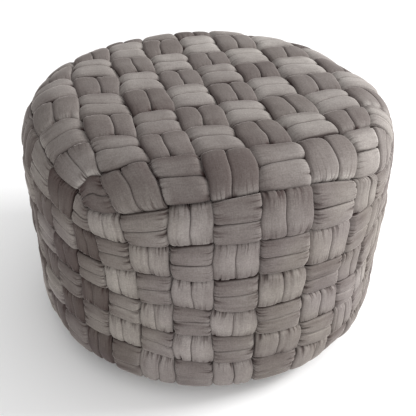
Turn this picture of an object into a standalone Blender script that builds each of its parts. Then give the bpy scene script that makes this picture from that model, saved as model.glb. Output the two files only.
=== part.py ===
"""A braided pouf: a drum-shaped filled body, hand-woven from stuffed velvet bands, on a base panel.

Eight bands run left to right and eight run front to back over the top and down the wall, and
six more ring the wall.  A band is a pair of stuffed tubes side by side, so every place where a
band lies on top is a pad of two round lobes with a seam between them.  The pads stand up in the
skin of one closed, filled solid.  A round panel of plain cloth closes the underside.

Metres, +Z up, the origin on the floor under the middle.  +X runs along the left-to-right bands
and +Y along the front-to-back ones.

A place on the weave is (u, w) on one of four faces: u counts columns from the middle of the
face, -4 to 4, and w counts rows outward from the middle of the top.  Rows up to w = 4 lie on
the top and wrap its rim; rows 4 to 10 are the six rings of the wall.
"""
import bmesh
import bpy
import numpy as np

# --- driving dimensions -----------------------------------------------------------------------
DIAMETER = 0.508
HEIGHT = 0.350
RIM_ROUND = 0.078          # reach of the rounding between the top and the wall
FOOT_ROUND = 0.067         # reach of the rounding between the wall and the underside
ROUND_POWER = 2.4          # 2 is a circle's quarter; a little more fills its shoulder out
PANEL_RADIUS = 0.176
PANEL_THICK = 0.003
CLEARANCE = 0.0003         # between the base panel and the body that sits on it

# --- the weave --------------------------------------------------------------------------------
BANDS = 8                  # bands each way across the top, and columns on each face
RINGS = 6                  # bands around the wall
HALF = BANDS // 2
LAST_ROW = HALF + RINGS
FACES = 4
TOP_PITCH = 0.0564         # width of a band on the flat of the top
CENTRE_SHIFT = (-0.004, -0.011)    # the weave's middle sits a little to the left and front
RIM_ARC_MIDDLE = 0.245     # over the surface from the top's middle to the rim line, mid-face
RIM_ARC_CORNER = 0.2845    # and at a corner of the weave
COLUMN_SPREAD = 1.5        # degrees by which mid-face columns are wider than an even share
RING_LINES_MIDDLE = (0.272, 0.221, 0.175, 0.131, 0.085)    # heights between rings, mid-face
RING_LINES_CORNER = (0.250, 0.206, 0.164, 0.123, 0.081)    # and at a corner of the weave
LAST_RING_ARC = 0.069      # the lowest ring's width, as it turns under

# --- one pad ----------------------------------------------------------------------------------
VALLEY = 0.011             # how far the skin is drawn in between pads
PIT = 0.005                # and further where four pads meet
SEAM = 0.0072              # between the two tubes of a pad
HEM = 0.004                # at the lower edge of the last ring
BARREL = 0.045             # a pad's sides swell by this share of its width
UNEVEN_LIFT = 0.0014       # pads stand a little higher or lower than their neighbours
UNEVEN_SHIFT = 0.0016      # and their corners wander by about this much
PAD_ROWS = (0.0, 0.25, 0.5, 0.75, 1.0)                  # stations along the tubes
END_STATIONS = (0.0, 0.25, 0.5, 0.75, 1.0)              # stations across them, at an end
INNER_STATIONS = (0.0, 0.13, 0.39, 0.5, 0.61, 0.87, 1.0)    # and between the ends

# Places where the hand weave is pulled out of line: the direction from the middle (degrees from
# the front towards the right), how far around it reaches, the sideways pull (degrees).
PULLS = (
    # angle, spread, pull
    (38.0, 22.0, 4.5),
    (-47.0, 14.0, -1.5),
    (128.0, 20.0, -3.0),
    (-140.0, 24.0, 3.0),
)
PULL_ARC = (0.17, 0.25, 0.32, 0.40)    # the pull grows, holds and fades over this arc


def round_off(reach, count=40):
    """Quarter of a superellipse: (reach * sin^(2/n), reach * cos^(2/n)) for a quarter turn."""
    turn = np.linspace(0.0, np.pi / 2, count)
    return reach * np.sin(turn) ** (2 / ROUND_POWER), reach * np.cos(turn) ** (2 / ROUND_POWER)


def bulge(x):
    """Height of a superellipse's upper half over x: 1 in the middle, 0 at -1 and 1."""
    return np.maximum(1 - np.abs(x) ** ROUND_POWER, 0.0) ** (1 / ROUND_POWER)


def body_profile():
    """Radius and height along the crowns, from the top's middle to the foot, and their arc."""
    rim_out, rim_up = round_off(RIM_ROUND)
    foot_down, foot_out = round_off(FOOT_ROUND)
    radius = DIAMETER / 2
    r = np.concatenate([[0.0], radius - RIM_ROUND + rim_out, radius - FOOT_ROUND + foot_out])
    z = np.concatenate([[HEIGHT], HEIGHT - RIM_ROUND + rim_up, FOOT_ROUND - foot_down])
    arc = np.concatenate([[0.0], np.cumsum(np.hypot(np.diff(r), np.diff(z)))])
    return arc, r, z


ARC, PROFILE_R, PROFILE_Z = body_profile()
STEP = 0.0015              # half the span over which the profile's slope is taken


def arc_at_height(height):
    """Arc on the wall or rim at a height; the profile only falls there."""
    outside = ARC > DIAMETER / 2 - RIM_ROUND
    return np.interp(-height, -PROFILE_Z[outside], ARC[outside])


def smooth(x):
    """0 below 0, 1 above 1 and 3x^2 - 2x^3 between."""
    x = np.clip(x, 0.0, 1.0)
    return x * x * (3 - 2 * x)


def column_angle(u):
    """Direction of column line u on a face: an even share plus a sine that widens the middle."""
    share = np.pi / 2 / BANDS
    spread = np.radians(COLUMN_SPREAD) * HALF / np.pi
    return share * u + spread * np.sin(np.pi * u / HALF)


def corner_share(u):
    """0 in the middle of a face and 1 at its corners, as sin^2."""
    return np.sin(np.pi * u / (2 * HALF)) ** 2


def ring_arc(rows_down, u):
    """Arc of the line rows_down below the rim line, between its mid-face and corner values."""
    lines = np.arange(RINGS + 1)
    middle = [RIM_ARC_MIDDLE, *arc_at_height(np.array(RING_LINES_MIDDLE))]
    corner = [RIM_ARC_CORNER, *arc_at_height(np.array(RING_LINES_CORNER))]
    middle.append(middle[-1] + LAST_RING_ARC)
    corner.append(corner[-1] + LAST_RING_ARC)
    share = corner_share(u)
    return np.interp(rows_down, lines, middle) * (1 - share) + np.interp(rows_down, lines, corner) * share


def on_wall(u, w):
    """Direction and arc of a place on the wall, in its own face."""
    return column_angle(u), ring_arc(w - HALF, u)


def on_top(u, w):
    """Direction and arc on the top: an even square weave that bends to the round rim line."""
    quarter = np.round(np.arctan2(u, w) / (np.pi / 2))
    turn = quarter * np.pi / 2
    across = u * np.cos(turn) - w * np.sin(turn)
    out = np.maximum(u * np.sin(turn) + w * np.cos(turn), 1e-9)
    at_rim = HALF * across / out
    rim_arc = ring_arc(0.0, at_rim) * out / HALF
    ease = 1 - smooth(out / 2 - 1)
    x = TOP_PITCH * u + CENTRE_SHIFT[0] * ease
    y = -TOP_PITCH * w + CENTRE_SHIFT[1] * ease
    even = np.arctan2(x, -y) - turn
    even = (even + np.pi) % (2 * np.pi) - np.pi
    blend = smooth(out / 2 - 1)
    angle = turn + (1 - blend) * even + blend * column_angle(at_rim)
    arc = (1 - blend) * np.hypot(x, y) + blend * rim_arc
    wall_angle, wall_arc = on_wall(across, out)
    return np.where(out < HALF, angle, turn + wall_angle), np.where(out < HALF, arc, wall_arc)


def pulled(angle, arc):
    """The hand weave's unevenness: the pulls of the table, and waves around and down."""
    weight = smooth((arc - PULL_ARC[0]) / (PULL_ARC[1] - PULL_ARC[0]))
    weight = weight * (1 - smooth((arc - PULL_ARC[2]) / (PULL_ARC[3] - PULL_ARC[2])))
    moved = angle
    for place, spread, pull in PULLS:
        off = (np.degrees(angle) - place + 180) % 360 - 180
        moved = moved + np.radians(pull) * weight * np.exp(-((off / spread) ** 2))
    reach = np.maximum(arc, 0.08)
    wander = smooth(arc / 0.1) * UNEVEN_SHIFT / np.minimum(reach, DIAMETER / 2)
    moved = moved + wander * np.sin(7 * angle + 61 * arc) * np.cos(88 * arc + 1.0)
    arc = arc + UNEVEN_SHIFT * smooth(arc / 0.1) * np.sin(9 * angle - 47 * arc + 2.0)
    return moved, arc


def surface(face, u, w, depth):
    """Point of the body: `depth` below the crowns at the woven place (u, w) of a face."""
    wall_angle, wall_arc = on_wall(u, w)
    top_angle, top_arc = on_top(u, w)
    angle = np.where(w >= HALF, wall_angle, top_angle) + face * np.pi / 2
    angle, arc = pulled(angle, np.where(w >= HALF, wall_arc, top_arc))
    before, after = arc - STEP, arc + STEP
    slope_r = np.interp(after, ARC, PROFILE_R) - np.interp(before, ARC, PROFILE_R)
    slope_z = np.interp(after, ARC, PROFILE_Z) - np.interp(before, ARC, PROFILE_Z)
    length = np.hypot(slope_r, slope_z)
    r = np.interp(arc, ARC, PROFILE_R) + depth * slope_z / length
    z = np.interp(arc, ARC, PROFILE_Z) - depth * slope_r / length
    return np.stack([r * np.sin(angle), -r * np.cos(angle), z], axis=-1)


def pad_depth(across, along):
    """Depth in a pad: two round lobes side by side, falling to the valley at both ends."""
    from_crown = np.abs(np.abs(across - 0.5) - 0.25) * 4
    foot = np.where(np.abs(across - 0.5) > 0.25, VALLEY, SEAM)
    ridge = foot * (1 - bulge(from_crown))
    return VALLEY - (VALLEY - ridge) * bulge(2 * along - 1)


def pad_template():
    """Stations of one pad across and along its tubes, and the faces between them."""
    rows = [END_STATIONS, *[INNER_STATIONS] * (len(PAD_ROWS) - 2), END_STATIONS]
    across = np.concatenate([np.array(row) for row in rows])
    along = np.concatenate([np.full(len(row), station) for row, station in zip(rows, PAD_ROWS)])
    faces = []
    start = 0
    for row, following in zip(rows, rows[1:]):
        faces += strip(row, following, start, start + len(row))
        start += len(row)
    return across, along, faces


def strip(row, following, first, second):
    """Faces between two rows of stations, which may differ in number."""
    if len(row) == len(following):
        return [(first + k, first + k + 1, second + k + 1, second + k) for k in range(len(row) - 1)]
    faces = []
    a = b = 0
    while a < len(row) - 1 or b < len(following) - 1:
        step_a = b == len(following) - 1 or (a < len(row) - 1 and row[a + 1] < following[b + 1])
        if step_a:
            faces.append((first + a, first + a + 1, second + b))
            a += 1
        else:
            faces.append((first + a, second + b + 1, second + b))
            b += 1
    return faces


def pad_points(face, column, row, template_across, template_along):
    """One pad's points: the template laid over the cell, along whichever band is on top."""
    swell = BARREL * 2
    across = 0.5 + (template_across - 0.5) * (1 + swell * np.sin(np.pi * template_along))
    along = 0.5 + (template_along - 0.5) * (1 - swell * np.sin(np.pi * template_across))
    ring_on_top = (column + row) % 2 == 1
    u = column + (along if ring_on_top else across)
    w = row + (across if ring_on_top else along)
    depth = pad_depth(template_across, template_along)
    lift = UNEVEN_LIFT * np.sin(2.3 * column + 3.7 * row + 1.9 * face)
    depth = depth - lift * (1 - depth / VALLEY)
    depth = depth + PIT * (np.cos(np.pi * u) * np.cos(np.pi * w)) ** 4
    depth = np.where(w > LAST_ROW - BARREL * 1.5, HEM, depth)
    return surface(face, u, w, depth)


def woven_cells():
    """Face, column and row of every pad: the square top, then the four faces of the wall."""
    for column in range(-HALF, HALF):
        for row in range(-HALF, HALF):
            yield 0, column, row
    for face in range(FACES):
        for column in range(-HALF, HALF):
            for row in range(HALF, LAST_ROW):
                yield face, column, row


def velvet(name, colour, roughness, sheen):
    """A cloth material: one colour, matt, with the pale edge light of a pile."""
    material = bpy.data.materials.new(name)
    material.use_nodes = True
    shader = material.node_tree.nodes["Principled BSDF"]
    shader.inputs["Base Color"].default_value = (*colour, 1.0)
    shader.inputs["Roughness"].default_value = roughness
    shader.inputs["Metallic"].default_value = 0.0
    shader.inputs["Sheen Weight"].default_value = sheen
    material.diffuse_color = (*colour, 1.0)
    return material


def add_object(name, mesh, material):
    """Link a mesh as one named node with its material, shaded smooth up to a crease."""
    mesh.materials.append(material)
    mesh.shade_smooth()
    mesh.set_sharp_from_angle(angle=np.radians(50))
    node = bpy.data.objects.new(name, mesh)
    bpy.context.scene.collection.objects.link(node)
    return node


def make_woven_body():
    """The filled body: all pads joined along their valleys, turned under to a flat foot."""
    across, along, template_faces = pad_template()
    points, faces = [], []
    for face, column, row in woven_cells():
        start = len(points) * len(across)
        points.append(pad_points(face, column, row, across, along))
        faces += [tuple(start + k for k in corners) for corners in template_faces]
    mesh = bpy.data.meshes.new("woven_body")
    mesh.from_pydata(np.concatenate(points).tolist(), [], faces)
    bm = bmesh.new()
    bm.from_mesh(mesh)
    bmesh.ops.remove_doubles(bm, verts=bm.verts, dist=0.00002)
    lower_edge = [edge for edge in bm.edges if edge.is_boundary]
    turned_under = bmesh.ops.extrude_edge_only(bm, edges=lower_edge)["geom"]
    foot_radius = DIAMETER / 2 - FOOT_ROUND
    for vertex in [part for part in turned_under if isinstance(part, bmesh.types.BMVert)]:
        direction = vertex.co.to_2d().normalized() * foot_radius
        vertex.co = (*direction, PANEL_THICK + CLEARANCE)
    foot = [edge for edge in bm.edges if edge.is_boundary]
    bmesh.ops.edgenet_fill(bm, edges=foot)
    bmesh.ops.recalc_face_normals(bm, faces=bm.faces)
    bm.to_mesh(mesh)
    bm.free()
    return add_object("woven_body", mesh, velvet("taupe_velvet", (0.235, 0.208, 0.195), 0.85, 0.6))


def make_base_panel():
    """The round cloth panel under the body, flat on the floor."""
    mesh = bpy.data.meshes.new("base_panel")
    bm = bmesh.new()
    bmesh.ops.create_cone(bm, cap_ends=True, segments=64, radius1=PANEL_RADIUS,
                          radius2=PANEL_RADIUS, depth=PANEL_THICK)
    bmesh.ops.translate(bm, verts=bm.verts, vec=(0.0, 0.0, PANEL_THICK / 2))
    bm.to_mesh(mesh)
    bm.free()
    return add_object("base_panel", mesh, velvet("base_cloth", (0.03, 0.028, 0.027), 0.95, 0.1))


def build():
    """Clear the scene and make both pieces."""
    for leftover in list(bpy.data.objects):
        bpy.data.objects.remove(leftover, do_unlink=True)
    make_woven_body()
    make_base_panel()


build()
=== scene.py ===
# %% [markdown]
# # A braided pouf, woven from stuffed velvet bands
#
# The real pouf is a drum about half a metre across.  Its maker stuffs long velvet tubes, lays
# them in pairs, and weaves the pairs over and under each other across the top, over the rim and
# down the wall, where six more pairs run round.  What we see is a chequer of plump pads: each is
# the place where one pair of tubes lies on top.
#
# We could raise pads on one skin, as the plain solid does.  Here every band is its own pair of
# closed tubes instead, so that a band really dives under its neighbour and light is lost in the
# gaps the way it is between real tubes.
#
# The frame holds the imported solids.  We load it first and keep its box, since every size below
# starts from it.

# %% Load the frame
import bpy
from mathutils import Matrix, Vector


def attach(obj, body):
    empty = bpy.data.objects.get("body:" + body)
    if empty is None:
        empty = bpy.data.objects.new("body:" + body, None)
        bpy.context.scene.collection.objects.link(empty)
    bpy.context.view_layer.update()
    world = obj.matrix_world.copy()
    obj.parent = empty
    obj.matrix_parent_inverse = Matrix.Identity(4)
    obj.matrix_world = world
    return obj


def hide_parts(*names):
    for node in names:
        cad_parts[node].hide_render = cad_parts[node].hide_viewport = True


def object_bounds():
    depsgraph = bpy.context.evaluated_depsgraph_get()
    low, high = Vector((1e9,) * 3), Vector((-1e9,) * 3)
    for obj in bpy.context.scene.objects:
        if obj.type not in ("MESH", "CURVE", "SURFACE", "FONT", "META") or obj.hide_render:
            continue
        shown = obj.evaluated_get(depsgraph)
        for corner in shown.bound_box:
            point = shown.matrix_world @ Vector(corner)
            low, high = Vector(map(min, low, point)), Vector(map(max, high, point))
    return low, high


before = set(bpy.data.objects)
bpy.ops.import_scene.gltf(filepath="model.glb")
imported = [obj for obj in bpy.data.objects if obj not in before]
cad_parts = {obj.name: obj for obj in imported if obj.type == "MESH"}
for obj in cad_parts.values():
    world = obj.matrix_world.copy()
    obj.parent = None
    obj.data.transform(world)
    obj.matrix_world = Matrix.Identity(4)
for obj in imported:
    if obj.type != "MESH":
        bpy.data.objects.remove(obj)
from types import SimpleNamespace
import bpy
import numpy as np
from mathutils import Vector

CAD_LOW, CAD_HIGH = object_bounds()
RADIUS = (CAD_HIGH.x - CAD_LOW.x + CAD_HIGH.y - CAD_LOW.y) / 4
HEIGHT = CAD_HIGH.z
SEED = 7
rng = np.random.default_rng(SEED)
print(f"drum of radius {RADIUS * 1000:.0f} mm and height {HEIGHT * 1000:.0f} mm")

# %% [markdown]
# ## The drum
#
# Cut through its middle, the drum is a flat top, a round rim, a straight wall and a round foot.
# We describe that outline once, as radius and height against the arc, the distance travelled over
# the skin from the middle of the top.  The roundings are quarters of a superellipse: a circle
# that has been filled out a little at the shoulder, as stuffing does.

# %% The drum's outline
RIM_ROUND = 0.307 * RADIUS
FOOT_ROUND = 0.264 * RADIUS
ROUND_POWER = 2.4


def quarter(reach, count=60):
    """Quarter of a superellipse: reach * sin^(2/n) beside reach * cos^(2/n) of a quarter turn."""
    turn = np.linspace(0.0, np.pi / 2, count)
    return reach * np.sin(turn) ** (2 / ROUND_POWER), reach * np.cos(turn) ** (2 / ROUND_POWER)


def drum_outline():
    """Arc, radius and height of the outline: top, rim, wall, foot and the flat underside."""
    out, up = quarter(RIM_ROUND)
    down, in_ = quarter(FOOT_ROUND)
    r = np.concatenate([[0.0], RADIUS - RIM_ROUND + out, RADIUS - FOOT_ROUND + in_, [0.0]])
    z = np.concatenate([[HEIGHT], HEIGHT - RIM_ROUND + up, FOOT_ROUND - down, [0.0]])
    return np.concatenate([[0.0], np.cumsum(np.hypot(np.diff(r), np.diff(z)))]), r, z


ARC, OUTLINE_R, OUTLINE_Z = drum_outline()
print(f"top middle to foot over the skin: {ARC[-2] * 1000:.0f} mm")

# %% [markdown]
# ## The weave as a map
#
# A place on the weave is a pair of numbers.  `u` counts columns from the middle of a face, -4 to
# 4, and `w` counts rows outward from the middle of the top: 0 to 4 to the rim line, then 4 to 10
# down the wall.  The map below turns (u, w) into a direction round the drum and an arc.
#
# On the top the bands are an even square grid.  The rim is a circle, so between row 2 and row 4
# the grid is blended into lines that follow the rim.  At the four corners of the square three
# cells meet instead of four, which is why the bands crowd and fan out there.

# %% Map a place on the weave to the drum
HALF = 4
BLEND_ROWS = (2, 4)
RINGS = 6
LAST_ROW = HALF + RINGS
TOP_PITCH = 0.222 * RADIUS
CENTRE_SHIFT = (-0.016 * RADIUS, -0.043 * RADIUS)
COLUMN_SPREAD = np.radians(1.5)
RIM_ARC = (0.966 * RADIUS, 1.121 * RADIUS)
RING_LINES_MIDDLE = np.array([0.777, 0.631, 0.500, 0.374, 0.243]) * HEIGHT
RING_LINES_CORNER = np.array([0.714, 0.589, 0.469, 0.351, 0.231]) * HEIGHT
LAST_RING_ARC = 0.272 * RADIUS


def smooth(x, low=0.0, high=1.0):
    """0 below low, 1 above high and 3t^2 - 2t^3 between, where t = (x - low) / (high - low)."""
    t = np.clip((x - low) / (high - low), 0.0, 1.0)
    return t * t * (3 - 2 * t)


def column_angle(u):
    """Direction of column line u: its share of 90 degrees plus a sine that widens the middle."""
    return np.pi / (4 * HALF) * u + COLUMN_SPREAD * HALF / np.pi * np.sin(np.pi * u / HALF)


def arc_at_height(height):
    """Arc at which the wall or rim has a height."""
    outside = (ARC > RADIUS - RIM_ROUND) & (ARC < ARC[-2])
    return np.interp(-height, -OUTLINE_Z[outside], ARC[outside])


def ring_arc(rows_down, u):
    """Arc of the line rows_down below the rim, blended by sin^2 from mid-face to the corner."""
    middle = [RIM_ARC[0], *arc_at_height(RING_LINES_MIDDLE)]
    corner = [RIM_ARC[1], *arc_at_height(RING_LINES_CORNER)]
    ends = [middle[-1] + LAST_RING_ARC, corner[-1] + LAST_RING_ARC]
    lines = np.arange(RINGS + 2)
    middle += [ends[0], ends[0] + TOP_PITCH]
    corner += [ends[1], ends[1] + TOP_PITCH]
    share = np.sin(np.pi * u / (2 * HALF)) ** 2
    at_middle, at_corner = np.interp(rows_down, lines, middle), np.interp(rows_down, lines, corner)
    return at_middle * (1 - share) + at_corner * share


def weave_place(u, w):
    """Direction and arc of (u, w): an even grid in the middle, rim-following lines outside."""
    side = np.round(np.arctan2(u, w) / (np.pi / 2)) * (np.pi / 2)
    across = u * np.cos(side) - w * np.sin(side)
    out = np.maximum(u * np.sin(side) + w * np.cos(side), 1e-9)
    at_rim = HALF * across / out
    blend = smooth(out, *BLEND_ROWS)
    x = TOP_PITCH * u + CENTRE_SHIFT[0] * (1 - blend)
    y = -TOP_PITCH * w + CENTRE_SHIFT[1] * (1 - blend)
    even = (np.arctan2(x, -y) - side + np.pi) % (2 * np.pi) - np.pi
    angle = (1 - blend) * even + blend * column_angle(at_rim)
    arc = (1 - blend) * np.hypot(x, y) + blend * ring_arc(0.0, at_rim) * out / HALF
    on_top = out < HALF
    return (side + np.where(on_top, angle, column_angle(across)),
            np.where(on_top, arc, ring_arc(out - HALF, across)))


print("rim line", [round(arc * 1000) for arc in RIM_ARC], "mm out, mid-face and at a corner")

# %% [markdown]
# ## Unevenness
#
# Nobody weaves by hand to a tenth of a millimetre.  Four steps make the weave less even:
#
# - a few broad pulls near the rim turn the lines of the weave to the left or right,
# - two slow waves move them by a millimetre or two,
# - tugs move them over the skin, each one as a bell: full in its middle and nothing far away,
# - swells do the same to the skin itself, where the stuffing pushes it out or has sunk in.
#
# The plain solids have the pulls and the waves only, so a pad here may lie up to two centimetres
# from the pad that was raised for it there.  For the bells we lay the skin flat, like a cloth
# spread out from the middle of the top.

# %% Pull the weave out of line
PULLS = (
    # direction (degrees), spread (degrees), pull (degrees)
    (38.0, 22.0, 4.5),
    (-47.0, 14.0, -1.5),
    (128.0, 20.0, -3.0),
    (-140.0, 24.0, 3.0),
)
PULL_IN = (0.17, 0.25)
PULL_OUT = (0.32, 0.40)
WAVE_SHIFT = 0.0016
# whole waves round the drum, their turn along the arc (radians a metre), and the turn along the
# arc and the start of a second wave that they are multiplied by
SIDE_WAVE = (7, 61.0, 88.0, 1.0)
# whole waves round the drum, their turn along the arc, and their start
OUT_WAVE = (9, -47.0, 2.0)
WAVE_IN = 0.1
WAVE_LEAST_ARC = 0.08
TUGS = (
    # direction (degrees), arc, spread, tug to the right, tug to the back (metres over the skin)
    (-156, 0.120, 0.140, 0.0027, 0.0187),
    (-108, 0.200, 0.100, 0.0022, 0.0049),
    (-67, 0.280, 0.100, 0.0048, -0.0099),
    (-46, 0.280, 0.070, -0.0052, -0.0014),
    (-36, 0.440, 0.100, 0.0076, -0.0016),
    (-20, 0.360, 0.070, 0.0063, 0.0035),
    (-12, 0.360, 0.140, -0.0105, -0.0074),
    (0, 0.480, 0.100, -0.0030, -0.0048),
    (23, 0.440, 0.200, 0.0139, -0.0098),
    (29, 0.440, 0.070, 0.0103, 0.0048),
    (36, 0.280, 0.100, 0.0123, 0.0070),
    (108, 0.120, 0.100, 0.0019, 0.0067),
    (-44, 0.235, 0.030, -0.0092, -0.0111),
    (-53, 0.274, 0.030, 0.0235, -0.0150),
    (-50, 0.286, 0.030, -0.0190, 0.0122),
    (-36, 0.280, 0.030, -0.0098, 0.0046),
    (-180, 0.120, 0.100, -0.0020, -0.0052),
    (-94, 0.200, 0.100, 0.0003, 0.0034),
    (-69, 0.440, 0.100, 0.0038, -0.0047),
    (-54, 0.480, 0.200, 0.0081, 0.0009),
    (0, 0.480, 0.070, -0.0036, 0.0005),
    (9, 0.320, 0.140, -0.0013, -0.0026),
    (30, 0.480, 0.100, 0.0103, 0.0004),
    (79, 0.200, 0.070, -0.0042, -0.0046),
    (108, 0.080, 0.070, -0.0009, 0.0024),
)
SWELLS = (
    # direction (degrees), arc, spread, outward (metres)
    (99, 0.245, 0.050, -0.0085),
    (68, 0.350, 0.085, 0.0055),
    (-108, 0.450, 0.100, 0.0070),
)


def bell(angle, arc, direction, distance, spread):
    """exp(-(r / spread)^2), where r is how far a place is from the bell's over the skin laid flat.

    r^2 = a^2 + d^2 - 2 a d cos(turn between them), for arcs a and d from the middle of the top.
    """
    turn = angle - np.radians(direction)
    return np.exp(-(arc ** 2 + distance ** 2 - 2 * arc * distance * np.cos(turn)) / spread ** 2)


def swollen(angle, arc):
    """How far the stuffing pushes the skin out: the sum of the bells in SWELLS."""
    return sum(outward * bell(angle, arc, *where) for *where, outward in SWELLS)


def tugged(angle, arc):
    """Direction and arc after the tugs, which add up to a step over the skin laid flat."""
    right, back = 0.0, 0.0
    for *where, to_right, to_back in TUGS:
        weight = bell(angle, arc, *where)
        right, back = right + to_right * weight, back + to_back * weight
    x, y = arc * np.sin(angle) + right, -arc * np.cos(angle) + back
    return np.arctan2(x, -y), np.hypot(x, y)


def pulled(angle, arc):
    """Direction and arc after the pulls, a bell round each direction, and the slow waves."""
    weight = smooth(arc, *PULL_IN) * (1 - smooth(arc, *PULL_OUT))
    moved = angle
    for place, spread, pull in PULLS:
        off = (np.degrees(angle) - place + 180) % 360 - 180
        moved = moved + np.radians(pull) * weight * np.exp(-((off / spread) ** 2))
    wave = WAVE_SHIFT * smooth(arc, 0.0, WAVE_IN)
    count, slant, ripple, start = SIDE_WAVE
    sideways = np.sin(count * angle + slant * arc) * np.cos(ripple * arc + start)
    moved = moved + wave / np.clip(arc, WAVE_LEAST_ARC, RADIUS) * sideways
    count, slant, start = OUT_WAVE
    return moved, arc + wave * np.sin(count * angle + slant * arc + start)


print(f"{len(PULLS)} pulls, {len(TUGS)} tugs and {len(SWELLS)} swells")

# %% [markdown]
# ## A point in space
#
# Everything so far moves a place over the skin.  `on_drum` turns it into a point at last: it looks
# up the outline's radius and height at the arc, and steps inward, at a right angle to the skin,
# by a depth.

# %% Place points under the skin
SLOPE_STEP = 0.0015


def on_drum(angle, arc, depth):
    """Point `depth` under the skin: outline radius and height, less depth times the normal."""
    angle, arc = tugged(*pulled(angle, arc))
    depth = depth - swollen(angle, arc)
    before, after = arc - SLOPE_STEP, arc + SLOPE_STEP
    slope_r = np.interp(after, ARC, OUTLINE_R) - np.interp(before, ARC, OUTLINE_R)
    slope_z = np.interp(after, ARC, OUTLINE_Z) - np.interp(before, ARC, OUTLINE_Z)
    length = np.hypot(slope_r, slope_z)
    r = np.interp(arc, ARC, OUTLINE_R) + depth * slope_z / length
    z = np.interp(arc, ARC, OUTLINE_Z) - depth * slope_r / length
    return np.stack([r * np.sin(angle), -r * np.cos(angle), z], axis=-1)


print(f"the skin's slope is measured over {2 * SLOPE_STEP * 1000:.0f} mm")

# %% [markdown]
# ## One band
#
# A band is two tubes side by side.  Along the band a station `p` counts cells; the tubes lie on
# top in every second cell and dive below their neighbours in the others.  The depth of the tubes'
# axes is therefore a wave, 1 - |t|^n over each cell, where t runs from -1 to 1.  The larger the
# power n, the flatter the pad and the steeper its ends: the pads are rounder on the top, where the
# stuffing lifts them, and flatter on the wall, where the drum pushes them out.
#
# Much else differs between the top and the wall too.  So a setting is often a pair, one number for
# the top and one for the wall, and `between` blends the pair over the rim.
#
# Round a tube the section is again a superellipse.  It is fullest in the middle of a pad and
# pinched where the next band crosses.  Past the last ring the tails sink to an even depth and
# flatten, because the base panel is sewn over them.

# %% Stations along and around a tube
PAD_STATIONS = 18
HIDDEN_STATIONS = 3
OVER_STATIONS = 38
UNDER_STATIONS = 4
SECTION_SAMPLES = 8001
SIDE_POWER = 6.0
SEAM_POWER = {"lengthwise": 10.0, "crosswise": 8.0, "ring": 7.0}
END_SIDE_POWER, END_SEAM_POWER = 4.0, 2.4
CROWN = 0.08
OVER_REACH = -0.3
END_CROWDING = 0.05
RIM_SPAN = (0.78 * RADIUS, 1.13 * RADIUS)


def between(pair, wall):
    """First of the pair on the top, second on the wall, blended by the share of wall."""
    return pair[0] * (1 - wall) + pair[1] * wall


def pad_steps():
    """Stations of one pad from 0 to 1, a little closer together towards its ends."""
    even = np.arange(PAD_STATIONS) / PAD_STATIONS
    return even - END_CROWDING * np.sin(2 * np.pi * even)


def stations(first, last, over_parity):
    """Stations from cell first to last: many on the pads, few where the band is hidden."""
    pad = pad_steps()
    hidden = np.arange(HIDDEN_STATIONS) / HIDDEN_STATIONS
    shown = range(-LAST_ROW, 8 * HALF)
    return np.concatenate([cell + (pad if cell % 2 == over_parity and cell in shown else hidden)
                           for cell in range(first, last)])


def tube_section(side_power, seam_power):
    """Section of a tube: x from its outer side (-1) to the seam (1), y up, and the share over it.

    Each half is a superellipse: rounder at the outer side, squarer at the seam.  Stations lie at
    even steps of the section's own length, many over the top and few underneath.
    """
    turn = np.linspace(-np.pi / 2, 3 * np.pi / 2, SECTION_SAMPLES)
    power = np.where(np.cos(turn) > 0, side_power, seam_power)
    x = -np.sign(np.cos(turn)) * np.abs(np.cos(turn)) ** (2 / power)
    y = np.sign(np.sin(turn)) * np.abs(np.sin(turn)) ** (2 / power)
    y = np.where(y > 0, y * (1 - CROWN * x * x), y)
    length = np.concatenate([[0.0], np.cumsum(np.hypot(np.diff(x), np.diff(y)))])
    seen = length[y > OVER_REACH]
    over = np.linspace(seen[0], seen[-1], OVER_STATIONS)
    under = np.linspace(seen[-1], seen[0] + length[-1], UNDER_STATIONS + 2)[1:-1] % length[-1]
    at = np.concatenate([over, under])
    share = (at - seen[0]) / (seen[-1] - seen[0])
    return np.interp(at, length, x), np.interp(at, length, y), share


SECTIONS = {kind: tube_section(SIDE_POWER, power) for kind, power in SEAM_POWER.items()}
END_SECTION = tube_section(END_SIDE_POWER, END_SEAM_POWER)
print(f"{OVER_STATIONS + UNDER_STATIONS} stations round a tube")

# %% [markdown]
# ## Gathers
#
# Where a tube is squeezed under its neighbour its velvet has too much cloth for the space, so it
# falls into short gathers that run along the tube and fade out on the pad.  Most are shallow and a
# few are deep slits, since the depth is the cube of a random number.  Some pads also carry a long
# crease or two from end to end.  Each gather is a narrow bell across the tube times a fading
# length along it, so all of them together are one product of two tables: stations by gathers, and
# gathers by turns.

# %% Gathers and long creases
GATHERS_PER_END = 6
LONG_CREASES = 3
# spans of length along (cells), place across (0 to 1), width across, and depth
GATHER_SPANS = ((0.10, 0.42), (0.14, 0.92), (0.018, 0.030), (0.15, 1.0))
CREASE_SPANS = ((0.7, 2.0), (0.15, 0.85), (0.018, 0.040), (0.0, 0.0010))
GATHER_DEPTH = 0.0055
BUSY = (0.3, 1.3)
FADE_POWER = 1.5
# how far beyond its own cell a gather is still worked out, in cells
OVERSHOOT = 0.3


def random_columns(pads, count, spans):
    """A table of pads by count of random numbers for each span."""
    return [rng.uniform(*span, (len(pads), count)) for span in spans]


def gather_group(starts, way, columns):
    """Columns of a group of gathers: start and direction before length, place, width and depth."""
    count = columns[0].shape[1]
    flat = [column.ravel() for column in columns]
    return [np.repeat(starts, count), np.full(len(flat[0]), way), *flat]


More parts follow.
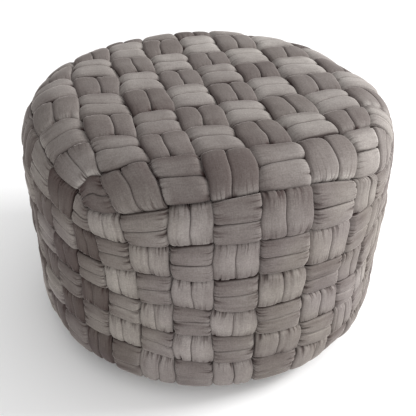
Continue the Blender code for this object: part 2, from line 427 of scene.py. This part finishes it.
def gather_table(pads):
    """Random gathers for both ends of a tube's pads, and the long creases, as six columns."""
    groups = []
    for starts, way in ((pads, 1.0), (pads + 1.0, -1.0)):
        busy = rng.uniform(*BUSY, (len(pads), 1))
        *columns, deepness = random_columns(pads, GATHERS_PER_END, GATHER_SPANS)
        groups.append(gather_group(starts, way, [*columns, busy * GATHER_DEPTH * deepness ** 3]))
    groups.append(gather_group(pads, 1.0, random_columns(pads, LONG_CREASES, CREASE_SPANS)))
    return [np.concatenate(column) for column in zip(*groups)]


def gathered(p, share, table):
    """Inward move at stations p and shares across: sum of depth * (1 - x / length)^1.5 * bell."""
    starts, ways, lengths, places, widths, depths = table
    inside = (p[:, None] - starts) * ways
    near = (inside > -OVERSHOOT) * (inside < 1 + OVERSHOOT)
    fade = np.clip(1 - inside / lengths, 0.0, 1.0) ** FADE_POWER * near
    across = np.exp(-(((share[:, None] - places) / widths) ** 2))
    return (fade * depths) @ across.T


print(f"{GATHERS_PER_END} gathers at each end of a tube's pad, {LONG_CREASES} long creases")

# %% [markdown]
# ## Painted light and shade on a pad
#
# A pad's shape alone shades it too softly, so light and shade are painted into its tone as
# well.  Each line of the list in `pad_shade` is one such painted change, and their product is
# stored on the mesh:
#
# - painted shade inside the gathers, and on the two edges of a tube,
# - a painted highlight on one edge of each tube (`shine`), and painted shade on the flank across
#   from it,
# - painted shade on the two edges of the whole pair, each by its own measure,
# - painted shade in the notch between the two tubes, darkest where they dive together,
# - on the top a pad's ends are painted darker, as they fall away from the light; on the rim and
#   the wall they are painted lighter, as they turn to it,
# - a ring's pad is painted lighter along the ring and downward,
# - a pad that hangs down the wall is painted lighter downward and darker at its foot, and on the
#   rim it is painted lighter towards its outer end, as light caught where it turns down.

# %% Shades of a pad
# strengths and spans of the painted light and shade listed above
FOLD_SHADE, FOLD_DEPTH = 0.62, 0.0022
EDGE_SHADE, EDGE_SPAN = 0.65, (0.95, 1.0)
# which edge is lit: 1 the one at larger offsets, -1 the other
LIT_EDGE = {"lengthwise": 1, "crosswise": -1, "ring": -1}
SHINE = {"lengthwise": (0.22, 0.055), "crosswise": (0.0, 0.0), "ring": (0.26, 0.26)}
SHINE_AT, SHINE_WIDTH = 0.90, 0.08
FLANK_SHADE = {"lengthwise": (0.20, 0.10), "crosswise": (0.16, 0.08), "ring": (0.10, 0.05)}
FLANK_SPAN = (0.66, 0.96)
UNLIT_SHADE = {"lengthwise": (0.12, 0.048), "crosswise": (0.14, 0.056), "ring": (0.06, 0.024)}
UNLIT_SPAN = (0.35, 0.95)
LIT_SHADE = {"lengthwise": (0.0, 0.14), "crosswise": (0.36, 0.36), "ring": (0.20, 0.20)}
LIT_SPAN = (0.45, 0.95)
NOTCH_SHADE = (0.92, 0.23)
NOTCH_ACROSS, NOTCH_ALONG = (0.45, 0.90), (0.80, 0.94)
END_SHADE = {"lengthwise": 0.25, "crosswise": 0.10, "ring": 0.0}
END_SHADE_SPAN = (0.94, 1.0)
END_LIGHT, END_LIGHT_SPAN = 0.20, (0.78, 0.96)
RING_DOWNWARD, RING_ALONG = 0.08, 0.20
WALL_DOWNWARD = 0.10
FOOT_SHADE, FOOT_SPAN = 0.22, (0.15, 0.42)
RIM_TURN_LIGHT, RIM_TURN_SPAN = 0.52, (0.28, 0.46)
RIM_TURN_DOWNWARD = 0.25


def pad_shade(kind, band, side, across, offset, inward):
    """Painted shade and light at each station and turn of a tube, a product of one factor per
    effect.
    """
    wall, rim, end, down, along = (values[:, None] for values in (
        band.wall, band.rim, band.end, band.down, band.p - band.cell - 0.5))
    ring = kind == "ring"
    lit = -side * across * LIT_EDGE[kind]
    lit_of_pair = 2 * offset * LIT_EDGE[kind]
    foot = 1 - FOOT_SHADE * smooth(down, *FOOT_SPAN) * (1 - rim)
    rim_turn_light = RIM_TURN_LIGHT * smooth(down, *RIM_TURN_SPAN) + RIM_TURN_DOWNWARD * down
    notch = smooth(across, *NOTCH_ACROSS) * smooth(end, *NOTCH_ALONG)
    # each factor is painted shade (below 1) or painted light (above 1) in the pad's tone
    factors = [
        1 - FOLD_SHADE * np.clip(inward / FOLD_DEPTH, 0.0, 1.0),
        1 - EDGE_SHADE * smooth(np.abs(across), *EDGE_SPAN),
        1 + between(SHINE[kind], wall) * np.exp(-(((lit - SHINE_AT) / SHINE_WIDTH) ** 2)),
        1 - between(FLANK_SHADE[kind], wall) * smooth(-lit, *FLANK_SPAN),
        1 - between(UNLIT_SHADE[kind], wall) * smooth(-lit_of_pair, *UNLIT_SPAN),
        1 - between(LIT_SHADE[kind], wall) * smooth(lit_of_pair, *LIT_SPAN),
        1 - between(NOTCH_SHADE, wall) * notch,
        1 - END_SHADE[kind] * (1 - rim) * (1 - wall) * smooth(end, *END_SHADE_SPAN),
        1 + END_LIGHT * np.maximum(wall, rim) * smooth(end, *END_LIGHT_SPAN),
        1 + RING_DOWNWARD * offset * ring,
        1 + RING_ALONG * along * ring,
        1 + ((1 + WALL_DOWNWARD * down) * foot - 1) * wall * (not ring),
        1 + rim_turn_light * rim * (not ring),
    ]
    shade = 1.0
    for factor in factors:
        shade = shade * factor
    return shade


print("darkest notch", [round(1 - shade, 2) for shade in NOTCH_SHADE], "of the tone, top and wall")

# %% [markdown]
# ## Along a band
#
# Before a band gets its skin we work out for every station where it lies and how deep: on the top
# or the wall, in the middle of a pad or at its end, over its neighbours or under them.
#
# Nothing stays the same along a band for long.  `wobble` makes a slow random drift, and we use it
# for the seam between a band's tubes, its place, its height, its width and its girth, and later
# for its tone.

# %% Stations, shares and depths
CROWN_DEPTH = 0.0125
OVER_WAVE = {"lengthwise": 0.0058, "crosswise": 0.0060, "ring": 0.0060}
UNDER_WAVE = 0.0140
PAD_POWER = {"lengthwise": (6.5, 10.0), "crosswise": (5.2, 10.0), "ring": (6.5, 14.0)}
RIM_POWER = 5.0
TAIL_BLEND = 0.35
TAIL_DEPTH = 0.0110
GATHERING = {"lengthwise": (0.24, 0.95), "crosswise": (0.24, 0.95), "ring": (0.24, 1.0)}
RIM_GATHERING = 0.175


def wobble(p, amount, node_at=0.5):
    """A slow random drift along a band: a random value in each cell, joined by straight lines.

    The values stand in the middles of the cells (node_at = 0.5) or at their borders (0).
    """
    cells = np.arange(np.floor(p.min()) - 1, np.ceil(p.max()) + 2)
    values = rng.normal(0.0, amount, len(cells))
    values[-3:] = values[:3]
    return np.interp(p, cells + node_at, values)


def along_band(kind, route, p, over_parity):
    """What we need to know at each station: its cell, its place on the drum, and shares of 0 to 1.

    `end` is 0 in the middle of a pad and 1 at its ends, `wall` 0 on the top and 1 on the wall, and
    `rim` = 4 wall (1 - wall) is 1 between them; `down` runs from -0.5 to 0.5 outward over a pad.
    """
    cell = np.floor(p + 1e-9)
    angle, arc = route(p, 0.0)
    wall = smooth(arc, *RIM_SPAN)
    rim = 4 * wall * (1 - wall)
    return SimpleNamespace(
        p=p, cell=cell, on_top=cell % 2 == over_parity, angle=angle, arc=arc, wall=wall, rim=rim,
        end=np.abs(2 * (p - cell) - 1), down=np.abs(p) - np.floor(np.abs(p)) - 0.5,
        tail=smooth(np.abs(p) - LAST_ROW, 0.0, TAIL_BLEND) * (kind != "ring"),
        folds=between(GATHERING[kind], wall) + RIM_GATHERING * rim)


def axis_depth(kind, band):
    """Depth of the tubes' axes: the wave 1 - |t|^n, up on pads and down between; tails are even."""
    power = between(PAD_POWER[kind], band.wall) + RIM_POWER * band.rim
    wave = (1 - band.end ** power) * np.where(band.on_top, OVER_WAVE[kind], -UNDER_WAVE)
    depth = CROWN_DEPTH + OVER_WAVE[kind] - wave
    return depth * (1 - band.tail) + TAIL_DEPTH * band.tail


print("axes", {kind: round((CROWN_DEPTH + wave + UNDER_WAVE) * 1000, 1)
               for kind, wave in OVER_WAVE.items()}, "mm deep where a band is under")

# %% [markdown]
# ## The two tubes of a band
#
# `band_tubes` puts it together: for both tubes of a band it works out the sideways place, the
# depth and the gathers at every station and turn, and maps them onto the drum.  The route of a
# band is a small function from (station, sideways offset) to a place on the weave, so that the
# same code makes the bands that cross the top and the rings.

# %% Build the two tubes of a band
TUBE_RISE = 0.0125
TAIL_RISE = 0.0060
TUBE_GIRTH = 0.050
PAIR_CROWN = 0.07
END_ROUNDING = (0.50, 0.0)
SWELL = 0.02
PINCH = 0.03
HIDDEN_SWELL = 0.3
OVERLAP = 1.02
SEAM_DRIFT, PAIR_DRIFT, HEIGHT_DRIFT, WIDTH_DRIFT, GIRTH_DRIFT = 0.035, 0.02, 0.0010, 0.02, 0.03


def band_tubes(kind, route, band):
    """Grids of both tubes, on_drum(route(p, offset), axis depth - rise * section).

    With them come the shades and the flow: metres round the tube, metres along it, and how
    crowded the cloth is, which grows with the square of the distance from a pad's middle.
    """
    p, axis = band.p, axis_depth(kind, band)
    seam = wobble(p, SEAM_DRIFT, node_at=0.0)
    drift = wobble(p, PAIR_DRIFT, node_at=0.0)
    height = wobble(p, HEIGHT_DRIFT)
    swell = (SWELL + PINCH) * np.sin(np.pi * (p - band.cell))
    wide = 1 - PINCH + swell * np.where(band.on_top, 1.0, HIDDEN_SWELL)
    wide = wide * (1 + wobble(p, WIDTH_DRIFT))
    rounding = (smooth(1.5 * band.end - 0.5) * between(END_ROUNDING, band.wall))[:, None]
    share = SECTIONS[kind][2]
    across, up = (middle * (1 - rounding) + end * rounding
                  for middle, end in zip(SECTIONS[kind][:2], END_SECTION[:2]))
    crowding = (band.folds * band.on_top * band.end ** 2)[:, None]
    grids, shades, flows = [], [], []
    for side in (-1, 1):
        left, right = (-0.5, seam) if side < 0 else (seam, 0.5)
        centre = drift + wide * (left + right) / 2
        half_width = wide * (right - left) / 2 * OVERLAP
        full = between((TUBE_RISE, TAIL_RISE), band.tail) * (1 + wobble(p, GIRTH_DRIFT))
        table = gather_table(np.unique(band.cell[band.on_top]))
        inward = gathered(p, share, table) * band.folds[:, None]
        shrink = 1 - inward / TUBE_RISE
        offset = centre[:, None] - side * half_width[:, None] * across * shrink
        rise = full[:, None] * up * shrink
        rise = rise * (1 - PAIR_CROWN * (2 * (offset - drift[:, None])) ** 2)
        grid = on_drum(*route(p[:, None], offset), (axis - height)[:, None] - rise)
        steps = np.linalg.norm(np.diff(grid[:, OVER_STATIONS // 2], axis=0), axis=1)
        length = np.concatenate([[0.0], np.cumsum(steps)])[:, None]
        grids.append(grid)
        shades.append(pad_shade(kind, band, side, across, offset, inward))
        flows.append(np.stack(np.broadcast_arrays(share * TUBE_GIRTH, length, crowding), axis=-1))
    return grids, shades, flows


print(f"a tube stands {TUBE_RISE * 1000:.1f} mm above its axis on a pad")

# %% [markdown]
# ## Grids into a mesh
#
# A grid of points turns into a skin when each point is joined to its neighbours along and around
# the tube.  A ring closes on itself, and a band that crosses the top gets a cap at each end, so
# both are closed.  `foreach_set` hands whole arrays to Blender, far quicker than face by face.

# %% Join the grids into a mesh
def tube_mesh(name, grids, closed):
    """One mesh from the two tube grids: quads between neighbouring stations, ends capped."""
    points, faces, sizes = [], [], []
    base = 0
    for grid in grids:
        count, turns = grid.shape[:2]
        points.append(grid.reshape(-1, 3))
        rows = np.arange(count if closed else count - 1)
        row, turn = np.meshgrid(rows, np.arange(turns), indexing="ij")
        after, beside = (row + 1) % count, (turn + 1) % turns
        quads = np.stack([row * turns + turn, row * turns + beside,
                          after * turns + beside, after * turns + turn], axis=-1)
        faces.append((base + quads).reshape(-1))
        sizes.append(np.full(row.size, 4))
        if not closed:
            ring = np.arange(turns)
            faces += [base + ring[::-1], base + (count - 1) * turns + ring]
            sizes.append(np.array([turns, turns]))
        base += count * turns
    return mesh_from(name, np.concatenate(points), np.concatenate(faces), np.concatenate(sizes))


def mesh_from(name, points, corners, sizes):
    """A mesh from arrays: points, the corners of all faces in a row, and each face's count."""
    mesh = bpy.data.meshes.new(name)
    mesh.vertices.add(len(points))
    mesh.vertices.foreach_set("co", points.astype(np.float32).ravel())
    mesh.loops.add(len(corners))
    mesh.loops.foreach_set("vertex_index", corners.astype(np.int32))
    mesh.polygons.add(len(sizes))
    starts = np.concatenate([[0], np.cumsum(sizes)[:-1]])
    mesh.polygons.foreach_set("loop_start", starts.astype(np.int32))
    mesh.update(calc_edges=True)
    mesh.validate()
    mesh.shade_smooth()
    return mesh


print(f"{OVER_STATIONS + UNDER_STATIONS} faces for each step along a tube")

# %% [markdown]
# ## The bands' routes
#
# Eight pairs run from front to back and eight from left to right.  Both go over the top and down
# to the foot, where their tails are caught flat above the base panel.  Six pairs run round the
# wall as closed rings.  A pad of a lengthwise band lies wherever column and row add up to an even
# number, and a crosswise band or a ring is on top at the odd ones: that is plain weave.

# %% Routes over the drum
def lengthwise_route(column):
    """Stations run along w and the offset moves u."""
    return lambda p, offset: weave_place(column + 0.5 + offset, p)


def crosswise_route(row):
    """Stations run along u and the offset moves w."""
    return lambda p, offset: weave_place(p, row + 0.5 + offset)


def ring_route(ring):
    """Stations run round all four faces, and the offset moves down the wall."""
    def place(p, offset):
        face = np.floor(p / (2 * HALF))
        u = p - 2 * HALF * face - HALF
        return column_angle(u) + face * np.pi / 2, ring_arc(ring + 0.5 + offset, u)
    return place


print("routes for", 4 * HALF, "crossing bands and", RINGS, "rings")

# %% [markdown]
# ## Helpers for materials
#
# A material is a tree of nodes, and links carry numbers and colours from one to the next.  Each
# helper below makes one kind of node, fills in its numbers and hands back its output, so that the
# recipe of the velvet can be read almost like a sum.

# %% Shader nodes
def node(tree, kind, **values):
    """Add a shader node and set its inputs by name."""
    made = tree.nodes.new(kind)
    for name, value in values.items():
        made.inputs[name.replace("_", " ")].default_value = value
    return made


def math_node(tree, operation, first, second):
    """A math node; each of the two inputs is a number or another node's output."""
    made = tree.nodes.new("ShaderNodeMath")
    made.operation = operation
    for socket, value in zip(made.inputs, (first, second)):
        if isinstance(value, (int, float)):
            socket.default_value = value
        else:
            tree.links.new(value, socket)
    return made.outputs["Value"]


def map_range(tree, value, low, high, to_low, to_high):
    """A map-range node from (low, high) to (to_low, to_high), held at its ends."""
    made = tree.nodes.new("ShaderNodeMapRange")
    names = ("From Min", "From Max", "To Min", "To Max")
    for name, number in zip(names, (low, high, to_low, to_high)):
        made.inputs[name].default_value = number
    tree.links.new(value, made.inputs["Value"])
    return made.outputs["Result"]


def stretched_noise(tree, vector, stretch, detail):
    """Noise over a vector multiplied by a stretch: large numbers give fine grain that way."""
    scaled = tree.nodes.new("ShaderNodeVectorMath")
    scaled.operation = "MULTIPLY"
    scaled.inputs[1].default_value = stretch
    tree.links.new(vector, scaled.inputs[0])
    noise = node(tree, "ShaderNodeTexNoise", Scale=1.0, Detail=detail, Roughness=0.55)
    tree.links.new(scaled.outputs["Vector"], noise.inputs["Vector"])
    return noise.outputs["Fac"]


def mix_colours(tree, factor, first, second):
    """Mix of two colours by a factor; the first is a colour or another node's output."""
    made = tree.nodes.new("ShaderNodeMix")
    made.data_type = "RGBA"
    if isinstance(first, tuple):
        made.inputs["A"].default_value = (*first, 1.0)
    else:
        tree.links.new(first, made.inputs["A"])
    made.inputs["B"].default_value = (*second, 1.0)
    tree.links.new(factor, made.inputs["Factor"])
    return made.outputs["Result"]


def attribute(tree, name, output):
    """An output of the node that reads an attribute of the mesh."""
    made = tree.nodes.new("ShaderNodeAttribute")
    made.attribute_name = name
    return made.outputs[output]


def third_number(tree, vector):
    """The Z of a vector."""
    made = tree.nodes.new("ShaderNodeSeparateXYZ")
    tree.links.new(vector, made.inputs["Vector"])
    return made.outputs["Z"]


print("shader helpers ready")

# %% [markdown]
# ## Velvet
#
# Velvet is a short pile standing on a cloth.  Seen along the pile it is dark, and across it the
# tips catch the light, so it has a pale rim where the surface turns away: that is what the
# shader's sheen does.  The lean of the pile, painted as sheen and shade, and the painted light and
# shade of each pad come from the mesh, as the attribute `tone`, and the material multiplies its
# colour by it.
#
# The second attribute, `flow`, measures round and along each tube.  Noise stretched over it gives
# streaks and fine creases that follow the tube wherever it turns; the creases show only where the
# third number of `flow`, the crowding of the cloth, is large, and there the colour is darkened as
# painted shade besides the dent in the relief.  Noise over the object's own coordinates gives the
# speckle of the pile, broad mottled patches, and patches that are a little more olive.  Towards
# the top the colour turns a little greyer.

# %% Velvet material
VELVET_GAIN = (0.1622, 0.1545, 0.1466)
OLIVE_GAIN = (0.1614, 0.1550, 0.1405)
TOP_GAIN = (0.1582, 0.1548, 0.1452)
# with the floor, dark tones stay redder and light tones turn greyer: painted grey sheen on the pads
# painted light
VELVET_FLOOR = (0.0126, -0.0024, -0.0024)
# the colour turns a little greyer towards the top, between these heights
GREYER_HEIGHTS, MOST_GREYER = (0.25, 0.34), 0.8
GRAIN = {
    # what it follows, stretch, detail, darkest and lightest
    "mottled": ("place", (38.0, 38.0, 38.0), 3.0, 0.90, 1.10),
    "streaks": ("flow", (700.0, 60.0, 0.0), 3.0, 0.92, 1.08),
    "rows": ("flow", (110.0, 800.0, 0.0), 2.0, 0.94, 1.06),
    "speckle": ("place", (560.0, 560.0, 560.0), 2.0, 0.86, 1.14),
}
NOISE_SPAN = (0.3, 0.7)
CREASE_STRETCH, CREASE_SPAN, CREASE_SHADE_DARKEST = (440.0, 30.0, 0.0), (0.36, 0.47), 0.35
PATCH_STRETCH, PATCH_SPAN = (9.0, 9.0, 9.0), (0.45, 0.62)
STREAK_RELIEF, SPECKLE_RELIEF = 0.25, 0.12


def velvet_material():
    """Base colour = gain * tone * grain * creases + floor, with sheen for the pile and bump."""
    material = bpy.data.materials.new("taupe_velvet")
    material.use_nodes = True
    tree = material.node_tree
    shader = tree.nodes["Principled BSDF"]
    shader.inputs["Roughness"].default_value = 0.95
    shader.inputs["Specular IOR Level"].default_value = 0.15
    shader.inputs["Sheen Weight"].default_value = 0.50
    shader.inputs["Sheen Roughness"].default_value = 0.20
    shader.inputs["Sheen Tint"].default_value = (0.90, 0.82, 0.78, 1.0)
    follows = {"place": tree.nodes.new("ShaderNodeTexCoord").outputs["Object"],
               "flow": attribute(tree, "flow", "Vector")}
    creases = stretched_noise(tree, follows["flow"], CREASE_STRETCH, 2.0)
    crease = math_node(tree, "MULTIPLY", map_range(tree, creases, *CREASE_SPAN, 1.0, 0.0),
                       third_number(tree, follows["flow"]))
    # the mesh's tone: the pile's painted sheen and shade, and each pad's painted light and shade
    shade = attribute(tree, "tone", "Fac")
    noises = {}
    for name, (source, stretch, detail, darkest, lightest) in GRAIN.items():
        noises[name] = stretched_noise(tree, follows[source], stretch, detail)
        grain = map_range(tree, noises[name], *NOISE_SPAN, darkest, lightest)
        shade = math_node(tree, "MULTIPLY", shade, grain)
    # painted shade in the creases: the colour is darkened there
    painted_crease_shade = map_range(tree, crease, 0.0, 1.0, 1.0, CREASE_SHADE_DARKEST)
    shade = math_node(tree, "MULTIPLY", shade, painted_crease_shade)
    patches = stretched_noise(tree, follows["place"], PATCH_STRETCH, 1.0)
    olive = map_range(tree, patches, *PATCH_SPAN, 0.0, 1.0)
    gain = mix_colours(tree, olive, VELVET_GAIN, OLIVE_GAIN)
    greyer_top = map_range(tree, third_number(tree, follows["place"]), *GREYER_HEIGHTS, 0.0, MOST_GREYER)
    colour = tree.nodes.new("ShaderNodeVectorMath")
    colour.operation = "MULTIPLY_ADD"
    tree.links.new(shade, colour.inputs[0])
    tree.links.new(mix_colours(tree, greyer_top, gain, TOP_GAIN), colour.inputs[1])
    colour.inputs[2].default_value = VELVET_FLOOR
    tree.links.new(colour.outputs["Vector"], shader.inputs["Base Color"])
    relief = math_node(tree, "MULTIPLY", crease, -1.0)
    for name, most in (("streaks", STREAK_RELIEF), ("speckle", SPECKLE_RELIEF)):
        relief = math_node(tree, "ADD", relief, map_range(tree, noises[name], 0.0, 1.0, 0.0, most))
    bump = node(tree, "ShaderNodeBump", Strength=0.6, Distance=0.0012)
    tree.links.new(relief, bump.inputs["Height"])
    tree.links.new(bump.outputs["Normal"], shader.inputs["Normal"])
    return material


velvet = velvet_material()
print("velvet:", velvet.name)

# %% [markdown]
# ## The lean of the pile, painted as sheen and shade
#
# The pile leans one way along each band, and the sheen and shade that this gives under the light
# are painted into the tone: the bands that run away from us over the top are painted darker than
# those that cross them, and each is painted light on one wall and dark on the other, where it
# hangs head down.  `band_tone` adds to that a tone that wanders from pad to pad, painted shade
# along the front rim where it faces the viewer, painted light on the right-hand side of the rings,
# a tone that grows lighter to the right and to the back over the crosswise pads on the top, and
# some broad patches that are lighter or darker.

# %% Tone of a band
# the pile's lean, painted as sheen and shade:
# tone on the top, on the wall at the band's end, and on the wall at its beginning
PILE_SHEEN_AND_SHADE = {"lengthwise": (0.73, 1.28, 0.72), "crosswise": (1.34, 1.30, 0.46),
             "ring": (1.02, 1.01, 1.01)}
TONE_DRIFT = 0.11
# on the top, crosswise pads grow lighter to the right and to the back, by these shares a radius
CROSSWISE_TREND = (0.16, 0.18)
# painted light on the right-hand side of the rings
RING_RIGHT_LIGHT = 0.12
# painted shade along the front rim, where it faces the viewer
FRONT_SHADE = 0.20
FRONT_TURN = np.radians(-13.0)
FRONT_SPAN = (0.6, 0.95)
FRONT_RIM, FRONT_RIM_WIDTH = 0.95 * RADIUS, 0.20 * RADIUS
# broad patches of lighter or darker tone
TONE_PATCHES = (
    # direction (degrees), arc, spread, change of tone
    (97, 0.200, 0.060, 0.15),
    (66, 0.270, 0.080, 0.16),
    (-80, 0.290, 0.055, 0.55),
    (-57, 0.320, 0.035, 0.40),
    (-76, 0.430, 0.080, 0.35),
    (-74, 0.560, 0.070, 0.45),
    (-62, 0.250, 0.040, -0.22),
    (2, 0.350, 0.060, -0.14),
    (6, 0.500, 0.035, -0.16),
    (36, 0.140, 0.045, 0.20),
    (25, 0.245, 0.040, 0.14),
    (150, 0.150, 0.060, 0.25),
    (-44, 0.135, 0.040, -0.14),
    (-44, 0.215, 0.030, 0.16),
    (-8, 0.230, 0.040, -0.14),
    (-112, 0.210, 0.040, 0.20),
    (-33, 0.450, 0.080, 0.12),
    (22, 0.450, 0.110, -0.10),
    (-58, 0.460, 0.070, -0.10),
)


def band_tone(kind, band):
    """Tone at every station: the pile's painted sheen and shade times the drift, front shade and
    patches.
    """
    on_top, at_end, at_beginning = PILE_SHEEN_AND_SHADE[kind]
    tone = between((on_top, np.where(band.p > 0, at_end, at_beginning)), band.wall)
    tone = tone * (1 + wobble(band.p, TONE_DRIFT))
    facing = smooth(np.cos(band.angle - FRONT_TURN), *FRONT_SPAN)
    front_rim = np.exp(-(((band.arc - FRONT_RIM) / FRONT_RIM_WIDTH) ** 2))
    tone = tone * (1 - FRONT_SHADE * facing * front_rim)
    if kind == "ring":
        tone = tone * (1 + RING_RIGHT_LIGHT * np.sin(band.angle))
    if kind == "crosswise":
        x, y = band.arc * np.sin(band.angle) / RADIUS, -band.arc * np.cos(band.angle) / RADIUS
        tone = tone * (1 + (CROSSWISE_TREND[0] * x + CROSSWISE_TREND[1] * y) * (1 - band.wall))
    for *where, change in TONE_PATCHES:
        tone = tone * (1 + change * bell(band.angle, band.arc, *where))
    return tone


print(f"{len(TONE_PATCHES)} brushed patches")

# %% [markdown]
# ## Making the bands
#
# Each band becomes one object with two closed tubes.  A closed mesh has a volume, and its sign
# tells us whether the faces point outward, so we measure it and turn the faces if we must.

# %% Make the bands
def signed_volume(mesh):
    """Sum of a . (b x c) / 6 over the mesh's triangles."""
    mesh.calc_loop_triangles()
    corners = np.empty(len(mesh.loop_triangles) * 3, np.int32)
    mesh.loop_triangles.foreach_get("vertices", corners)
    points = np.empty(len(mesh.vertices) * 3, np.float32)
    mesh.vertices.foreach_get("co", points)
    a, b, c = points.reshape(-1, 3)[corners.reshape(-1, 3)].transpose(1, 0, 2)
    return float((a * np.cross(b, c)).sum() / 6)


def store(mesh, name, kind, field, parts):
    """Store an attribute with a value at each vertex, from one flat array for each tube."""
    made = mesh.attributes.new(name, kind, "POINT")
    made.data.foreach_set(field, np.concatenate(parts).astype(np.float32))


def make_band(name, kind, route, p, over_parity, closed):
    """Build a band's mesh, store its tones, and let it stand for the woven solid."""
    along = along_band(kind, route, p, over_parity)
    grids, shades, flows = band_tubes(kind, route, along)
    mesh = tube_mesh(name, grids, closed)
    if signed_volume(mesh) < 0:
        mesh.flip_normals()
    # the stored tone: the pile's painted sheen and shade and its random drift, times each pad's
    # painted light and shade
    tone = band_tone(kind, along)[:, None]
    store(mesh, "tone", "FLOAT", "value", [(tone * shade).ravel() for shade in shades])
    store(mesh, "flow", "FLOAT_VECTOR", "vector", [flow.ravel() for flow in flows])
    mesh.materials.append(velvet)
    band = bpy.data.objects.new(name, mesh)
    bpy.context.scene.collection.objects.link(band)
    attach(band, "root")
    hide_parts("woven_body")
    return band


bands = []
for kind, route, first in (("lengthwise", lengthwise_route, 0), ("crosswise", crosswise_route, 1)):
    for line in range(-HALF, HALF):
        parity = (line + first) % 2
        name = f"{kind}_band_{line + HALF + 1}"
        p = stations(-LAST_ROW - 1, LAST_ROW + 1, parity)
        bands.append(make_band(name, kind, route(line), p, parity, False))
for ring in range(RINGS):
    parity = (ring + 1) % 2
    p = stations(0, 8 * HALF, parity)
    bands.append(make_band(f"ring_band_{ring + 1}", "ring", ring_route(ring), p, parity, True))
print(len(bands), "bands,", sum(len(band.data.polygons) for band in bands) * 2, "triangles")

# %% [markdown]
# ## The base panel
#
# The solids' base panel already has its shape, a flat disc of cloth, so it stays and only gets a
# finish: a dark plain-woven cloth.

# %% Base cloth material
def base_cloth_material():
    """A dark matt cloth; a fine chequer in its relief stands for the crossing threads."""
    material = bpy.data.materials.new("base_cloth")
    material.use_nodes = True
    tree = material.node_tree
    shader = tree.nodes["Principled BSDF"]
    shader.inputs["Base Color"].default_value = (0.03, 0.028, 0.027, 1.0)
    shader.inputs["Roughness"].default_value = 0.9
    place = tree.nodes.new("ShaderNodeTexCoord")
    threads = node(tree, "ShaderNodeTexChecker", Scale=900.0)
    tree.links.new(place.outputs["Object"], threads.inputs["Vector"])
    bump = node(tree, "ShaderNodeBump", Strength=0.4, Distance=0.0003)
    tree.links.new(threads.outputs["Fac"], bump.inputs["Height"])
    tree.links.new(bump.outputs["Normal"], shader.inputs["Normal"])
    return material


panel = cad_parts["base_panel"]
panel.data.materials.clear()
panel.data.materials.append(base_cloth_material())
print("base panel finished")

# %% [markdown]
# ## Camera
#
# The viewer stands a little to the left of the front-to-back bands and looks down at the pouf
# from about 34 degrees above the horizon.  A longish lens keeps the drum from bulging.

# %% Camera
VIEW_TURN = np.radians(-14.5)
VIEW_RISE = np.radians(33.7)
VIEW_DISTANCE = 3.985 * RADIUS
# the place looked at: above the floor and to the viewer's right of the middle, in drum radii
TARGET_UP, TARGET_RIGHT = 0.570, 0.0057
LENS, SENSOR_WIDTH = 57.7, 36.0

backward = Vector((np.sin(VIEW_TURN) * np.cos(VIEW_RISE), -np.cos(VIEW_TURN) * np.cos(VIEW_RISE),
                   np.sin(VIEW_RISE)))
rightward = Vector((np.cos(VIEW_TURN), np.sin(VIEW_TURN), 0.0))
target = Vector((0.0, 0.0, TARGET_UP * RADIUS)) + rightward * TARGET_RIGHT * RADIUS
camera = bpy.data.objects.new("camera", bpy.data.cameras.new("camera"))
camera.data.lens = LENS
camera.data.sensor_width = SENSOR_WIDTH
camera.location = target + backward * VIEW_DISTANCE
camera.rotation_euler = backward.to_track_quat("Z", "Y").to_euler()
bpy.context.scene.collection.objects.link(camera)
bpy.context.scene.camera = camera
print("camera at", [round(value, 3) for value in camera.location])

# %% [markdown]
# ## Floor and light
#
# A plain pale floor, a wide soft light high on the right, a weaker one behind the viewer, and a
# pale sky all round, which is brighter on the right too.

# %% Floor and lights
FLOOR_RADIUS, FLOOR_CORNERS = 8.0, 64
# place, size, power
KEY_LIGHT = ((2.0, -0.3, 1.3), 0.8, 50.0)
FILL_LIGHT = ((-0.4, -2.0, 1.2), 1.4, 8.0)
SKY_STRENGTH, SKY_LEAN = 1.00, 0.52


def make_floor():
    """A large pale disc at floor level."""
    turns = np.linspace(0.0, 2 * np.pi, FLOOR_CORNERS, endpoint=False)
    points = FLOOR_RADIUS * np.stack([np.cos(turns), np.sin(turns), np.zeros_like(turns)], axis=-1)
    mesh = mesh_from("floor", points, np.arange(FLOOR_CORNERS), np.array([FLOOR_CORNERS]))
    material = bpy.data.materials.new("pale_floor")
    material.use_nodes = True
    shader = material.node_tree.nodes["Principled BSDF"]
    shader.inputs["Base Color"].default_value = (0.88, 0.88, 0.88, 1.0)
    shader.inputs["Roughness"].default_value = 0.8
    mesh.materials.append(material)
    floor = bpy.data.objects.new("floor", mesh)
    bpy.context.scene.collection.objects.link(floor)


def soft_light(name, place, size, power):
    """A square area light at a place, facing the middle of the pouf."""
    light = bpy.data.lights.new(name, "AREA")
    light.size = size
    light.energy = power
    lamp = bpy.data.objects.new(name, light)
    lamp.location = place
    lamp.rotation_euler = (Vector(place) - target).to_track_quat("Z", "Y").to_euler()
    bpy.context.scene.collection.objects.link(lamp)


def make_sky(strength, lean):
    """White light from all round: strength + lean * (how far a direction points to the right)."""
    sky = bpy.data.worlds.new("sky")
    sky.use_nodes = True
    tree = sky.node_tree
    place = tree.nodes.new("ShaderNodeTexCoord")
    rightness = tree.nodes.new("ShaderNodeVectorMath")
    rightness.operation = "DOT_PRODUCT"
    rightness.inputs[1].default_value = rightward * lean
    level = tree.nodes.new("ShaderNodeMath")
    level.inputs[1].default_value = strength
    tree.links.new(place.outputs["Generated"], rightness.inputs[0])
    tree.links.new(rightness.outputs["Value"], level.inputs[0])
    tree.links.new(level.outputs["Value"], tree.nodes["Background"].inputs["Strength"])
    tree.nodes["Background"].inputs["Color"].default_value = (1.0, 1.0, 1.0, 1.0)
    bpy.context.scene.world = sky


make_floor()
soft_light("key", *KEY_LIGHT)
soft_light("fill", *FILL_LIGHT)
make_sky(SKY_STRENGTH, SKY_LEAN)
bpy.context.scene.view_settings.view_transform = "Standard"
print("floor, 2 lights and sky")
